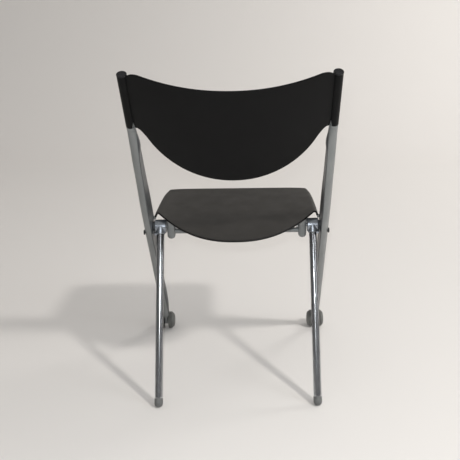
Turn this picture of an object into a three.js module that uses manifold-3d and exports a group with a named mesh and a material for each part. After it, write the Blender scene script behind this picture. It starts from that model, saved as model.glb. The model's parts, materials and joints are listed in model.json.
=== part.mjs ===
// Folding chair with two leaning posts, a wrap-round back shell, a tip-up seat shell, chromed
// rear legs that swing forward as the seat tips up, and twin wheels under the posts.
// Millimetres, +Z up. The sitter faces -Y and +X is on the sitter's left. The model is drawn
// about the folding axis, then the whole chair is set down with its origin at the middle of
// its outer box, on the floor.
import * as THREE from 'three';
import { mergeVertices } from 'three/addons/utils/BufferGeometryUtils.js';
import Module from 'manifold-3d';

const wasm = await Module();
wasm.setup();

// ---------------------------------------------------------------- driving dimensions
const CLEARANCE = 0.3; // between pieces that touch or seat on each other
const RUNNING = 0.4; // between pieces that turn on each other

const POST_SPACING = 452; // between the centre lines of the two posts
const PIVOT_HEIGHT = 408; // folding axis above the floor
const POST_LEAN = THREE.MathUtils.degToRad(29.1); // back from the vertical
const POST_WALL = 1.8;
const POST_WAIST = 22; // width of the post across the folding axis
const POST_SHOULDER = 3; // from the post's flat inner side to its deepest line
const BACK_TOP = 484; // from the folding axis up the post to the top of the sleeves
const SLEEVE_LENGTH = 139; // black sleeve of the back shell on each post
const SLEEVE_DIAMETER = 21.6;
const NECK_DIAMETER = 17; // of the post inside the sleeve
const NECK_SHORT = 4; // neck ends this far under the top of the back
const COLLAR_LENGTH = 10;
const COLLAR_SHORT = 0.6; // collar's diameter against the sleeve's

const BACK_DEPTH = 47; // how far the middle of the back panel lies behind the posts
const BACK_THICKNESS = 4.5;
const BACK_END_DEPTH = 3.5; // and how far its rear face lies behind them at the posts
const BACK_MIDDLE_RISE = 215; // up the post line to the lower edge at the middle
const BACK_CREST = 492; // highest place of the panel's top edge, up the post line
const BACK_CREST_INSIDE = 34; // that place, in from the post's centre line
const BACK_TOP_SAG = 20; // dip of the top edge at the middle
const BACK_SWEEP_INSIDE = 16; // end of the ellipse that the lower edge follows, in from the post
const BACK_SWEEP_HEIGHT = 190;
const BACK_KNEE_INSIDE = 37; // where the lower edge leaves the ellipse and turns level
const NOTCH_LENGTH = 25; // open V between the panel and the foot of each sleeve
const NOTCH_WIDTH = 9;
const CAP_HEIGHT = 3.4;
const CAP_DIAMETER = 22.6;

const SEAT_INSIDE = 15.5; // from the post's centre line in to the seat's rim
const SEAT_THICKNESS = 4.5;
const RIM_OFF_BARREL = 20.5; // top of the seat's side rims above the hub's barrel
const SEAT_DISH = 27.5; // dip of the rear edge at the middle
const SEAT_BEHIND = 135; // from the folding axis to the rear edge at the middle
const SEAT_AHEAD = 223; // from the folding axis to the front edge
const SEAT_FRONT_TAPER = 8; // each side, from the axis to the front
const SEAT_CORNER = 6;
const SIDE_ROLL = 10; // radius of the rolled side rims
const SIDE_ROLL_TURN = THREE.MathUtils.degToRad(100);
const FRONT_ROLL = 26; // radius of the rolled front edge
const FRONT_ROLL_TURN = THREE.MathUtils.degToRad(72);

const LUG_INSIDE = 26.5; // middle of the seat bracket's lug, in from the middle of the hub
const LUG_WIDTH = 21;
const LUG_DEPTH = 24;
const LUG_DROP = 34; // from the folding axis to the lug's rounded lower end
const LUG_FLANGE = 4; // thickness of the flange under the seat
const TIE_BAR_DIAMETER = 12.5;
const TIE_BAR_DROP = 14; // below the folding axis
const SCREW_DIAMETER = 5;
const SCREW_HEAD = 9;
const SCREW_BITE = 3; // into the seat

const HUB_INSIDE = 4; // from the post's flat side in to the barrel's end
const BARREL_DIAMETER = 35;
const BARREL_LENGTH = 29;
const HUB_SHOULDER_DIAMETER = 26;
const HUB_SHOULDER = 1.2; // length past the barrel's end
const SOCKET_DIAMETER = 25;
const SOCKET_REACH = 21; // from the folding axis to the mouth of the leg socket
const PIN_DIAMETER = 8;
const PIN_HEAD_DIAMETER = 15;
const WASHER_DIAMETER = 24;
const WASHER_THICKNESS = 2;
const INSERT_DIAMETER = 14;
const INSERT_SHORT = 2.4; // clear of the post's rounded outer side

const LEG_DIAMETER = 19.5;
const LEG_WALL = 1.5;
const LEG_OFFSET = 5; // leg axis behind the folding axis
const LEG_SPREAD = 206; // folding axis to the foot, along the floor
const LEG_SPLAY = THREE.MathUtils.degToRad(0.5); // each foot out from its hub
const FOOT_DIAMETER = 21.4;
const FOOT_LENGTH = 12.9; // from the end of the tube to the middle of the foot's round end
const FOOT_FLAT = 1.5; // worn flat on the floor, off the round end
const FOOT_STEM = 22;

const STOP_OFF_BARREL = 2.5; // stop pin's centre line behind the barrel's rearmost line
const STOP_BELOW = 8.5; // and below the folding axis
const STOP_PIN_DIAMETER = 5;
const STOP_HEAD_DIAMETER = 14;
const STOP_HEAD_PROUD = 2.6; // past the post's widest line
const STOP_HEAD_SUNK = 0.5; // seat of the head inside that line, on the rounded side
const STOP_BUSH_DIAMETER = 8;
const STOP_TAB_DIAMETER = 8;
const REST_BLOCK_DEPTH = 14; // fore and aft, ahead of the folding axis
const REST_BLOCK_HEIGHT = 6.8;
const REST_BLOCK_WIDTH = 6.2;

const WHEEL_DIAMETER = 50;
const WHEEL_WIDTH = 19;
const WHEEL_GAP = 12.8; // between the inner faces of a pair
const TREAD_THICKNESS = 3;
const TREAD_INSET = 1.5;
const AXLE_DIAMETER = 7;
const AXLE_BITE = 12; // how far the axle goes into each wheel
const POST_FOOT_RISE = 40; // end of the post above the axle, along the post
const TONGUE_LENGTH = 76; // caster bracket above the axle, along the post

const TREAD_WIDTH = 10;
const CASTER_EYE_DIAMETER = 24;

// ---------------------------------------------------------------- shared sizes
const X_AXIS = new THREE.Vector3(1, 0, 0);
const Z_AXIS = new THREE.Vector3(0, 0, 1);
const POST_X = POST_SPACING / 2;
const BACK_CREST_X = POST_X - BACK_CREST_INSIDE;
const BACK_SWEEP_WIDTH = POST_X - BACK_SWEEP_INSIDE;
const BACK_KNEE_X = POST_X - BACK_KNEE_INSIDE;
const SEAT_HALF_WIDTH = POST_X - SEAT_INSIDE;
const HUB_X = POST_X - POST_WAIST / 2 - HUB_INSIDE - BARREL_LENGTH / 2; // middle of the hub and leg
const LUG_X = HUB_X - LUG_INSIDE;
const STOP_BEHIND = BARREL_DIAMETER / 2 + STOP_OFF_BARREL;
const SEAT_RIM_RISE = BARREL_DIAMETER / 2 + RIM_OFF_BARREL;
const WHEEL_RADIUS = WHEEL_DIAMETER / 2;
const AXLE_DROP = (PIVOT_HEIGHT - WHEEL_RADIUS) / Math.cos(POST_LEAN);
const SLEEVE_FOOT = BACK_TOP - SLEEVE_LENGTH;
const SLEEVE_SIDE = POST_X - SLEEVE_DIAMETER / 2; // inner side of the sleeve
const COLLAR_FOOT = SLEEVE_FOOT - COLLAR_LENGTH;
const POST_FOOT = -AXLE_DROP + POST_FOOT_RISE;
const LEG_TILT = Math.atan2(LEG_SPREAD, PIVOT_HEIGHT);
const TONGUE_WIDTH = WHEEL_GAP - 2 * RUNNING;
const TIE_BAR_END = LUG_X + LUG_WIDTH * 0.2;
const LEG_HEAD = -PIN_DIAMETER / 2 - 3; // top of the leg tube, under the pivot pin
const FOOT_RISE = FOOT_DIAMETER / 2 - FOOT_FLAT; // middle of the round end above the floor
const FOOT_CENTRE = (PIVOT_HEIGHT - FOOT_RISE + LEG_OFFSET * Math.sin(LEG_TILT)) / Math.cos(LEG_TILT);
const LEG_END = FOOT_CENTRE - FOOT_LENGTH;

// The post's outline: place up the post from the folding axis, width across, depth fore and
// aft, and how far the middle of the depth lies behind the post line.
const POST_OUTLINE = [
  { at: POST_FOOT, width: 20.5, depth: 21.5, behind: 0 },
  { at: POST_FOOT * 0.8, width: 22, depth: 27, behind: 0 },
  { at: POST_FOOT * 0.45, width: 22.5, depth: 40, behind: 2 },
  { at: 0, width: POST_WAIST, depth: 59, behind: 5 },
  { at: COLLAR_FOOT * 0.25, width: POST_WAIST, depth: 59, behind: 6 },
  { at: COLLAR_FOOT * 0.62, width: 21.4, depth: 40, behind: 4 },
  { at: COLLAR_FOOT, width: SLEEVE_DIAMETER - 1, depth: SLEEVE_DIAMETER - 1, behind: 0 },
];

// ---------------------------------------------------------------- materials
function finish(color, roughness, metalness) {
  return () => new THREE.MeshStandardMaterial({ color, roughness, metalness });
}

const greyPaint = finish(0x8d9292, 0.45, 0.3);
const hubMetal = finish(0x8a929c, 0.35, 0.7);
const chrome = finish(0xd8dbe0, 0.12, 1.0);
const steel = finish(0x9a9c9f, 0.35, 1.0);
const blackShell = finish(0x17181b, 0.5, 0.0);
const seatPlastic = finish(0x3b3a38, 0.5, 0.0);
const darkPlastic = finish(0x1c1d1f, 0.6, 0.0);
const greyPlastic = finish(0x77797a, 0.6, 0.0);
const treadRubber = finish(0x4c4e50, 0.85, 0.0);

// ---------------------------------------------------------------- geometry helpers
function signedVolume(points, faces) {
  const cross = new THREE.Vector3();
  let sum = 0;
  for (const [a, b, c] of faces) {
    sum += points[a].dot(cross.crossVectors(points[b], points[c]));
  }
  return sum / 6;
}

// A closed geometry from points and triangles, turned so that its faces look outwards.
function closedGeometry(points, faces) {
  const outward = signedVolume(points, faces) > 0;
  const index = faces.flatMap(([a, b, c]) => (outward ? [a, b, c] : [a, c, b]));
  const geometry = new THREE.BufferGeometry().setFromPoints(points);
  geometry.setIndex(index);
  return geometry;
}

function quad(a, b, c, d) {
  return [[a, b, c], [a, c, d]];
}

// A skin through rings of points. With hollow set the last ring joins the first, as on a
// tube with a wall; otherwise each end is closed by a fan.
function loft(rings, hollow = false) {
  const count = rings[0].length;
  const points = rings.flat();
  const faces = [];
  const joints = hollow ? rings.length : rings.length - 1;
  for (let r = 0; r < joints; r += 1) {
    const here = r * count;
    const next = ((r + 1) % rings.length) * count;
    for (let i = 0; i < count; i += 1) {
      const j = (i + 1) % count;
      faces.push(...quad(here + i, here + j, next + j, next + i));
    }
  }
  if (!hollow) {
    const last = (rings.length - 1) * count;
    for (let i = 1; i < count - 1; i += 1) {
      faces.push([0, i + 1, i], [last, last + i, last + i + 1]);
    }
  }
  return closedGeometry(points, faces);
}

// A sheet with thickness: surface(u, v) gives its outer face for u and v from 0 to 1, and
// the inner face lies one thickness along the surface's normal.
function sheet(surface, columns, rows, thickness) {
  const step = 1e-4;
  const outer = [];
  const inner = [];
  for (let r = 0; r <= rows; r += 1) {
    for (let c = 0; c <= columns; c += 1) {
      const u = c / columns;
      const v = r / rows;
      const here = surface(u, v);
      const across = surface(Math.min(u + step, 1), v).sub(surface(Math.max(u - step, 0), v));
      const along = surface(u, Math.min(v + step, 1)).sub(surface(u, Math.max(v - step, 0)));
      outer.push(here);
      inner.push(here.clone().addScaledVector(across.cross(along).normalize(), -thickness));
    }
  }
  const wide = columns + 1;
  const half = outer.length;
  const at = (r, c) => r * wide + c;
  const faces = [];
  for (let r = 0; r < rows; r += 1) {
    for (let c = 0; c < columns; c += 1) {
      const corners = [at(r, c), at(r, c + 1), at(r + 1, c + 1), at(r + 1, c)];
      faces.push(...quad(...corners));
      faces.push(...quad(...corners.map((i) => i + half).reverse()));
    }
  }
  const rim = [];
  for (let c = 0; c < columns; c += 1) rim.push(at(0, c));
  for (let r = 0; r < rows; r += 1) rim.push(at(r, columns));
  for (let c = columns; c > 0; c -= 1) rim.push(at(rows, c));
  for (let r = rows; r > 0; r -= 1) rim.push(at(r, 0));
  rim.forEach((a, i) => {
    const b = rim[(i + 1) % rim.length];
    faces.push(...quad(b, a, a + half, b + half));
  });
  return closedGeometry([...outer, ...inner], faces);
}

// Turns a closed geometry's faces outwards if they look inwards.
function facingOut(geometry) {
  const merged = mergeVertices(bareCopy(geometry), 1e-4);
  const flat = merged.index.array;
  const position = merged.attributes.position;
  const points = Array.from({ length: position.count }, (_, i) => new THREE.Vector3()
    .fromBufferAttribute(position, i));
  const faces = [];
  for (let i = 0; i < flat.length; i += 3) {
    const [a, b, c] = flat.slice(i, i + 3);
    if (a !== b && b !== c && a !== c) faces.push([a, b, c]);
  }
  return closedGeometry(points, faces);
}

function bareCopy(geometry) {
  const copy = geometry.clone();
  copy.deleteAttribute('normal');
  copy.deleteAttribute('uv');
  return copy;
}

function toSolid(geometry) {
  const merged = mergeVertices(bareCopy(geometry), 1e-4);
  return new wasm.Manifold(new wasm.Mesh({
    numProp: 3,
    vertProperties: new Float32Array(merged.attributes.position.array),
    triVerts: new Uint32Array(merged.index.array),
  }));
}

function fromSolid(solid) {
  const mesh = solid.getMesh();
  const geometry = new THREE.BufferGeometry();
  geometry.setAttribute('position', new THREE.BufferAttribute(mesh.vertProperties, mesh.numProp));
  geometry.setIndex(new THREE.BufferAttribute(mesh.triVerts, 1));
  return geometry;
}

function join(first, ...others) {
  return fromSolid(others.reduce((sum, g) => sum.add(toSolid(g)), toSolid(first)));
}

function cut(first, ...tools) {
  return fromSolid(tools.reduce((rest, g) => rest.subtract(toSolid(g)), toSolid(first)));
}

// A turned piece: pairs of [radius, height] from one end on the axis to the other, about Z.
function turned(profile, segments = 24) {
  const outline = profile.map(([r, z]) => new THREE.Vector2(r, z));
  return facingOut(new THREE.LatheGeometry(outline, segments).rotateX(Math.PI / 2));
}

// The same, with its axis along X and its heights measured towards +X.
function turnedAcross(profile, segments = 24) {
  return turned(profile, segments).rotateY(Math.PI / 2);
}

// A plain or hollow round bar between two heights, with small chamfers at its outer rims.
function bar(radius, from, to, bore = 0, chamfer = 0) {
  const rims = chamfer > 0
    ? [[radius - chamfer, from], [radius, from + chamfer], [radius, to - chamfer], [radius - chamfer, to]]
    : [[radius, from], [radius, to]];
  const outline = [[bore, from], ...rims, [bore, to]];
  return bore > 0 ? [...outline, outline[0]] : outline;
}

function mesh(name, geometry, material) {
  const made = new THREE.Mesh(geometry, material());
  made.name = name;
  return made;
}

// ---------------------------------------------------------------- posts
// Place, width, depth and set-back of the post at one height, smoothed between the outline's
// stations.
function postAt(height) {
  const stations = POST_OUTLINE;
  let k = 0;
  while (k < stations.length - 2 && height > stations[k + 1].at) k += 1;
  const [a, b] = [stations[k], stations[k + 1]];
  const t = THREE.MathUtils.smoothstep(height, a.at, b.at);
  const mix = (key) => THREE.MathUtils.lerp(a[key], b[key], t);
  return { width: mix('width'), depth: mix('depth'), behind: mix('behind') };
}

const POST_SIDES = 16;

// One ring round the post: a round end that turns into an oval, deepest near its inner side
// and cut off flat there, towards the seat.
function postRing(height, inset) {
  const { width, depth, behind } = postAt(height);
  const points = POST_SIDES;
  const half = width / 2 - inset;
  const blade = THREE.MathUtils.clamp((2 * (depth - width)) / width, 0, 1);
  const deepest = -blade * (width / 2 - POST_SHOULDER);
  const ring = [];
  for (let i = 0; i < points; i += 1) {
    const angle = (i / points) * 2 * Math.PI;
    const c = Math.cos(angle);
    const reach = Math.sign(c) * Math.abs(c) ** (1 - 0.25 * blade);
    const x = Math.max(deepest + (half - deepest) * reach, -half);
    const y = Math.sin(angle) * (depth / 2 - inset) + behind;
    ring.push(new THREE.Vector3(x, y, height));
  }
  return ring;
}

function roundRing(radius, height) {
  const points = POST_SIDES;
  return Array.from({ length: points }, (_, i) => {
    const angle = (i / points) * 2 * Math.PI;
    return new THREE.Vector3(radius * Math.cos(angle), radius * Math.sin(angle), height);
  });
}

// A hollow post, open at both ends: the outer skin goes up and the inner one comes back down.
// The hole in its inner wall takes the pivot pin, and a through hole takes the stop pin.
function postGeometry() {
  const steps = 11;
  const heights = Array.from({ length: steps }, (_, i) => THREE.MathUtils.lerp(
    POST_FOOT, COLLAR_FOOT - CLEARANCE, i / (steps - 1)));
  const neck = NECK_DIAMETER / 2;
  const neckEnds = [COLLAR_FOOT + 1, BACK_TOP - NECK_SHORT];
  const outside = heights.map((h) => postRing(h, 0));
  const inside = heights.map((h) => postRing(h, POST_WALL));
  for (const h of neckEnds) {
    outside.push(roundRing(neck, h));
    inside.push(roundRing(neck - POST_WALL, h));
  }
  const tube = loft([...outside, ...inside.reverse()], true);
  const pinHole = turnedAcross(bar(PIN_DIAMETER / 2 + CLEARANCE, -POST_WAIST, 0), 20);
  const stopHole = turnedAcross(bar(STOP_PIN_DIAMETER / 2 + CLEARANCE, -20, 20), 16);
  onPost(stopHole, STOP_BEHIND, -STOP_BELOW);
  return cut(tube, pinHole, stopHole);
}

// Moves a geometry, drawn about the X axis, to a place given level with the floor, in the
// frame that leans with the post.
function onPost(geometry, behind, up) {
  const place = new THREE.Vector3(0, behind, up).applyAxisAngle(X_AXIS, POST_LEAN);
  return geometry.translate(place.x, place.y, place.z);
}

function collarGeometry() {
  const outer = (SLEEVE_DIAMETER - COLLAR_SHORT) / 2;
  const bore = NECK_DIAMETER / 2 + CLEARANCE;
  return turned(bar(outer, COLLAR_FOOT + 2, SLEEVE_FOOT - CLEARANCE, bore));
}

// ---------------------------------------------------------------- back shell
// Depth of the panel's rear face behind the post line, for a place across the chair: it
// bows back in the middle and runs into the rear half of each sleeve.
function backDepth(x) {
  const bow = 1 - Math.abs(x / POST_X) ** 2.2;
  return BACK_END_DEPTH + (BACK_DEPTH - BACK_END_DEPTH) * bow;
}

// The top edge climbs from the middle to a crest near each sleeve and drops under the cap's
// level before it gets there.
function backTopEdge(x) {
  const out = Math.abs(x);
  if (out < BACK_CREST_X) return BACK_CREST - BACK_TOP_SAG * (1 - (out / BACK_CREST_X) ** 2);
  const capSide = POST_X - CAP_DIAMETER / 2 - 2 * CLEARANCE;
  const beyond = Math.min(1, (out - BACK_CREST_X) / (capSide - BACK_CREST_X));
  return BACK_CREST - (BACK_CREST - BACK_TOP + CLEARANCE) * beyond ** 3;
}

// The lower edge follows the bottom of an ellipse as far as a knee and then turns level
// towards the foot of the sleeve.
function backLowerEdge(x) {
  const out = Math.abs(x);
  const sweep = (place) => BACK_MIDDLE_RISE
    + BACK_SWEEP_HEIGHT * (1 - Math.sqrt(1 - (place / BACK_SWEEP_WIDTH) ** 2));
  if (out < BACK_KNEE_X) return sweep(out);
  const beyond = Math.min(1, (out - BACK_KNEE_X) / (SLEEVE_SIDE - BACK_KNEE_X));
  const knee = sweep(BACK_KNEE_X);
  return knee + (SLEEVE_FOOT - knee) * (1 - (1 - beyond) ** 1.9);
}

function backSurface(u, v) {
  const x = POST_X * Math.sin((Math.PI / 2) * (1 - 2 * u)); // closest columns near the posts
  const height = THREE.MathUtils.lerp(backLowerEdge(x), backTopEdge(x), v);
  return new THREE.Vector3(x, backDepth(x), height);
}

// Panel and both sleeves in one moulding. The wedge opens the V at the foot of each sleeve.
function backGeometry() {
  const panel = sheet(backSurface, 26, 5, BACK_THICKNESS);
  const sleeve = turned(bar(SLEEVE_DIAMETER / 2, SLEEVE_FOOT, BACK_TOP, 0, 0.4));
  const bore = turned(bar(NECK_DIAMETER / 2 + CLEARANCE, 0, 2 * BACK_TOP));
  const capRoom = turned(bar(CAP_DIAMETER / 2 + CLEARANCE, BACK_TOP, 2 * BACK_TOP));
  const inner = SLEEVE_DIAMETER / 2;
  const wedge = new THREE.Shape([
    new THREE.Vector2(-inner - 0.5, SLEEVE_FOOT - 1),
    new THREE.Vector2(NOTCH_WIDTH - inner, SLEEVE_FOOT - 1),
    new THREE.Vector2(NOTCH_WIDTH * 0.3 - inner, SLEEVE_FOOT + NOTCH_LENGTH),
    new THREE.Vector2(NOTCH_WIDTH * 0.2 - inner, SLEEVE_FOOT + NOTCH_LENGTH),
  ]);
  const notch = new THREE.ExtrudeGeometry(wedge, { depth: SLEEVE_DIAMETER, bevelEnabled: false })
    .rotateX(Math.PI / 2)
    .translate(0, SLEEVE_DIAMETER - 1.5, 0);
  const shift = (geometry, side) => mirrored(geometry, side).translate(side * POST_X, 0, 0);
  const whole = join(panel, shift(sleeve, 1), shift(sleeve, -1));
  const tools = [bore, capRoom, notch].flatMap((tool) => [shift(tool, 1), shift(tool, -1)]);
  return cut(whole, ...tools);
}

// A copy of a geometry, seen in a mirror across the chair's middle when side is -1.
function mirrored(geometry, side) {
  const copy = geometry.clone();
  if (side > 0) return copy;
  copy.scale(-1, 1, 1);
  return facingOut(copy);
}

function capGeometry() {
  const rim = CAP_DIAMETER / 2;
  const plug = NECK_DIAMETER / 2 - POST_WALL - CLEARANCE;
  const seat = BACK_TOP + CLEARANCE;
  return turned([
    [0, seat - 16],
    [plug, seat - 16],
    [plug, seat],
    [rim, seat],
    [rim, seat + CAP_HEIGHT * 0.7],
    [rim - 2, seat + CAP_HEIGHT],
    [0, seat + CAP_HEIGHT],
  ], 20);
}

// ---------------------------------------------------------------- seat
// Share of the sheet's grid given to the flat part; the rest goes round the rolled rims.
const SEAT_FLAT = 0.8;

// The seat's upper face about the folding axis. u runs from the sitter's left rim to the
// right one and v from the rear edge to the front.
function seatSurface(u, v) {
  const across = 1 - 2 * u;
  const share = Math.min(1, Math.abs(across) / SEAT_FLAT);
  const ahead = Math.min(1, v / SEAT_FLAT);
  const bulge = roundedIn(1 - share ** 2.3);
  const corner = SEAT_CORNER * share ** 8 * ahead ** 8;
  const flatHalf = SEAT_HALF_WIDTH - SIDE_ROLL - SEAT_FRONT_TAPER * ahead ** 1.5;
  const front = FRONT_ROLL * Math.sin(FRONT_ROLL_TURN) - SEAT_AHEAD;
  const y = THREE.MathUtils.lerp(SEAT_BEHIND * bulge, front, ahead) + corner;
  const z = SEAT_RIM_RISE - SEAT_DISH * bulge * (1 - ahead) ** 1.1;
  const rim = rolledRim(Math.abs(across), v);
  const x = Math.sign(across) * (flatHalf * share - corner + rim.out);
  return new THREE.Vector3(x, y - rim.forward, z - rim.drop);
}

// Softens the start of a slope that leaves zero at once, so that it leaves level instead.
function roundedIn(value) {
  const ease = 0.03;
  return (value ** 2 * (1 + ease)) / (value + ease);
}

// How far the rolled rim carries the surface out, forward and down. Round a front corner the
// side's roll turns into the front's, fanwise about the corner of the flat part.
function rolledRim(across, v) {
  const sideways = Math.max(0, across - SEAT_FLAT) / (1 - SEAT_FLAT);
  const forwards = Math.max(0, v - SEAT_FLAT) / (1 - SEAT_FLAT);
  const angle = Math.atan2(forwards, sideways);
  const front = Math.sin(angle) ** 2;
  const radius = THREE.MathUtils.lerp(SIDE_ROLL, FRONT_ROLL, front);
  const turn = THREE.MathUtils.lerp(SIDE_ROLL_TURN, FRONT_ROLL_TURN, front)
    * Math.max(sideways, forwards);
  const reach = radius * Math.sin(turn);
  return {
    out: reach * Math.cos(angle),
    forward: reach * Math.sin(angle),
    drop: radius * (1 - Math.cos(turn)),
  };
}

// The point at a depth under the seat's upper face, and the face's normal there.
function underSeat(u, v, depth) {
  const step = 1e-4;
  const here = seatSurface(u, v);
  const across = seatSurface(u + step, v).sub(here);
  const along = seatSurface(u, v + step).sub(here);
  const normal = across.cross(along).normalize();
  return { point: here.addScaledVector(normal, -depth), normal };
}

// The grid place (u, v) of the seat's surface over a point of the bracket.
function seatPlace(x, y) {
  let [u, v] = [0.5, 0.5];
  for (let i = 0; i < 40; i += 1) {
    const here = seatSurface(u, v);
    u -= ((x - here.x) / (2 * SEAT_HALF_WIDTH)) * 0.8;
    v -= ((y - here.y) / (SEAT_AHEAD + SEAT_BEHIND)) * 0.8;
  }
  return [u, v];
}

// Screws run square to the seat, from under the bracket's flange into the seat.
const SCREW_PLACES = [-36, -84].map((y) => seatPlace(LUG_X, y));

function onScrew(geometry, [u, v], side = 1) {
  const { point, normal } = underSeat(u, v, SEAT_THICKNESS);
  const turn = new THREE.Quaternion().setFromUnitVectors(Z_AXIS, normal);
  return mirrored(geometry.clone().applyQuaternion(turn).translate(...point.toArray()), side);
}

function seatGeometry() {
  const shell = sheet(seatSurface, 30, 10, SEAT_THICKNESS);
  const hole = turned(bar(SCREW_DIAMETER / 2 + CLEARANCE, -3, SCREW_BITE + CLEARANCE), 12);
  const holes = [1, -1].flatMap((side) => SCREW_PLACES.map((place) => onScrew(hole, place, side)));
  return cut(shell, ...holes);
}

// A countersunk-looking pan head under the flange, with a plain shank into the seat.
function screwGeometry(place) {
  const under = -LUG_FLANGE - 2 * CLEARANCE;
  const screw = turned([
    [0, under - 2.6],
    [SCREW_HEAD * 0.3, under - 2.6],
    [SCREW_HEAD / 2, under - 1.4],
    [SCREW_HEAD / 2, under],
    [SCREW_DIAMETER / 2, under],
    [SCREW_DIAMETER / 2, SCREW_BITE - 0.5],
    [0, SCREW_BITE],
  ], 16);
  return onScrew(screw, place);
}

// Seat bracket: a flange that follows the seat's underside and a lug that hangs from it over
// the pivot pin, with a rounded lower end that holds the tie bar.
function bracketGeometry() {
  const [first, second] = SCREW_PLACES;
  const [uA, vA] = seatPlace(LUG_X + LUG_WIDTH / 2, LUG_DEPTH / 2);
  const [uB] = seatPlace(LUG_X - LUG_WIDTH / 2, 0);
  const vB = second[1] + (second[1] - first[1]) * 0.35;
  const depth = SEAT_THICKNESS + CLEARANCE;
  const flange = sheet((s, t) => underSeat(
    THREE.MathUtils.lerp(uA, uB, s), THREE.MathUtils.lerp(vA, vB, t), depth).point,
  2, 5, LUG_FLANGE);
  const lug = loft(lugRings()).translate(LUG_X, 0, 0);
  const pinHole = turnedAcross(bar(PIN_DIAMETER / 2 + RUNNING, 0, 2 * LUG_X), 20);
  const barHole = turnedAcross(
    bar(TIE_BAR_DIAMETER / 2 + CLEARANCE, 0, TIE_BAR_END + CLEARANCE), 24)
    .translate(0, 0, -TIE_BAR_DROP);
  const screwHole = turned(bar(SCREW_DIAMETER / 2 + CLEARANCE, -12, 1), 12);
  const screwHoles = SCREW_PLACES.map((place) => onScrew(screwHole, place));
  return cut(join(flange, lug), pinHole, barHole, ...screwHoles);
}

const LUG_SIDES = 20;

function lugRings() {
  const round = 4;
  const rings = [];
  const oval = (scale, height) => Array.from({ length: LUG_SIDES }, (_, i) => {
    const angle = (i / LUG_SIDES) * 2 * Math.PI;
    const [c, s] = [Math.cos(angle), Math.sin(angle)];
    const x = Math.sign(c) * Math.abs(c) ** 0.7 * (LUG_WIDTH / 2) * scale;
    const y = Math.sign(s) * Math.abs(s) ** 0.7 * (LUG_DEPTH / 2) * scale;
    return new THREE.Vector3(x, y, height);
  });
  for (let i = 1; i <= round; i += 1) {
    const angle = (i / round) * (Math.PI / 2);
    rings.push(oval(Math.sin(angle), -LUG_DROP + (LUG_WIDTH / 2) * (1 - Math.cos(angle))));
  }
  const { point } = underSeat(...seatPlace(LUG_X, 0), SEAT_THICKNESS + LUG_FLANGE);
  rings.push(oval(1, point.z));
  return rings;
}

function tieBarGeometry() {
  return turnedAcross(bar(TIE_BAR_DIAMETER / 2, -TIE_BAR_END, TIE_BAR_END));
}

// ---------------------------------------------------------------- pivots and rear legs
// Turns a geometry, drawn down the Z axis, to the slope of the rear leg.
function alongLeg(geometry) {
  return geometry.rotateY(-LEG_SPLAY).translate(0, LEG_OFFSET, 0).rotateX(LEG_TILT);
}

// The hub casting: a barrel about the folding axis, a shoulder towards the post, a socket for
// the leg and a tab that meets the stop bush when the leg is down.
function hubGeometry() {
  const half = BARREL_LENGTH / 2;
  const barrel = turnedAcross(bar(BARREL_DIAMETER / 2, -half, half, 0, 1.5), 24);
  const shoulder = turnedAcross(bar(HUB_SHOULDER_DIAMETER / 2, 0, half + HUB_SHOULDER));
  const socket = alongLeg(turned(bar(SOCKET_DIAMETER / 2, -SOCKET_REACH, 0, 0, 1.2), 20));
  const tab = turnedAcross(bar(STOP_TAB_DIAMETER / 2, 0, half + HUB_SHOULDER), 12);
  placeTab(tab);
  const legBore = alongLeg(
    turned(bar(LEG_DIAMETER / 2 + CLEARANCE, -2 * SOCKET_REACH, LEG_HEAD + CLEARANCE)));
  const pinBore = turnedAcross(bar(PIN_DIAMETER / 2 + RUNNING, -BARREL_LENGTH, BARREL_LENGTH), 20);
  return cut(join(barrel, shoulder, socket, tab), legBore, pinBore).translate(HUB_X, 0, 0);
}

// The tab sits next to the stop bush, on the side that the leg comes from.
function placeTab(tab) {
  const radius = Math.hypot(STOP_BEHIND, STOP_BELOW);
  const apart = (STOP_BUSH_DIAMETER + STOP_TAB_DIAMETER) / 2 + CLEARANCE;
  const angle = Math.atan2(STOP_BEHIND, STOP_BELOW) - 2 * Math.asin(apart / 2 / radius);
  return tab.translate(0, radius * Math.sin(angle), -radius * Math.cos(angle));
}

function pinGeometry() {
  const lugInner = LUG_X - LUG_WIDTH / 2;
  const postWallInside = POST_X + POST_WAIST / 2 - POST_WALL;
  return turnedAcross([
    [0, lugInner - 5],
    [PIN_HEAD_DIAMETER * 0.3, lugInner - 4.6],
    [PIN_HEAD_DIAMETER / 2, lugInner - 2.6],
    [PIN_HEAD_DIAMETER / 2, lugInner - CLEARANCE],
    [PIN_DIAMETER / 2, lugInner - CLEARANCE],
    [PIN_DIAMETER / 2, postWallInside - 1.6],
    [0, postWallInside - 1.6],
  ], 20);
}

function insertGeometry() {
  const inside = POST_WAIST / 2 - POST_WALL - CLEARANCE;
  const bore = PIN_DIAMETER / 2 + CLEARANCE;
  return turnedAcross(bar(INSERT_DIAMETER / 2, -inside, inside - INSERT_SHORT, bore), 16);
}

function washerGeometry() {
  const from = HUB_X + BARREL_LENGTH / 2 + HUB_SHOULDER + CLEARANCE;
  const bore = PIN_DIAMETER / 2 + RUNNING;
  return turnedAcross(bar(WASHER_DIAMETER / 2, from, from + WASHER_THICKNESS, bore), 20);
}

// Leg tube, drawn down its own axis from the folding axis.
function legGeometry() {
  const inner = LEG_DIAMETER / 2 - LEG_WALL;
  return turned(bar(LEG_DIAMETER / 2, -LEG_END, LEG_HEAD, inner));
}

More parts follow.
